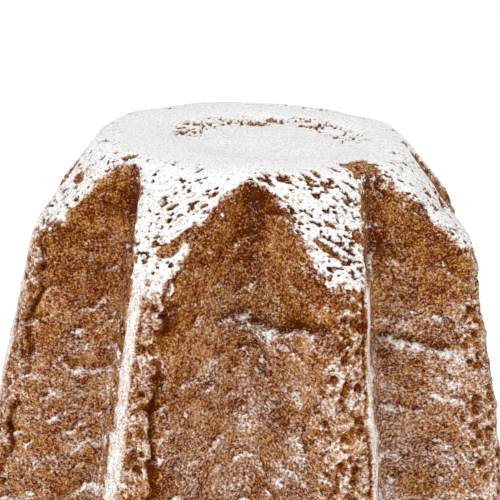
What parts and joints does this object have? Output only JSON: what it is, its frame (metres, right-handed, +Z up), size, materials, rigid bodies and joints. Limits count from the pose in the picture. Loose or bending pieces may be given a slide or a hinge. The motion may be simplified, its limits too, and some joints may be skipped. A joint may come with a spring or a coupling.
{
  "type": "pandoro",
  "caption": "Tall sweet cake with a fluted star section, narrower at the top and dusted with icing sugar; it stands whole on its wide flat base.",
  "frame": {"origin": "middle of the flat base the cake stands on", "axes": "+Z up along the cake's middle line, towards the narrow sugared top; -Y is the side the picture shows, where a flute faces the viewer; +X is the viewer's right"},
  "size_m": [0.1954, 0.1974, 0.1834],
  "materials": {
    "crust": "baked golden-brown crust, porous and matt, with a thin dust of sugar",
    "icing_sugar": "sifted icing sugar, matt white powder"
  },
  "bodies": {
    "root": {"pandoro": "crust"}
  },
  "joints": []
}
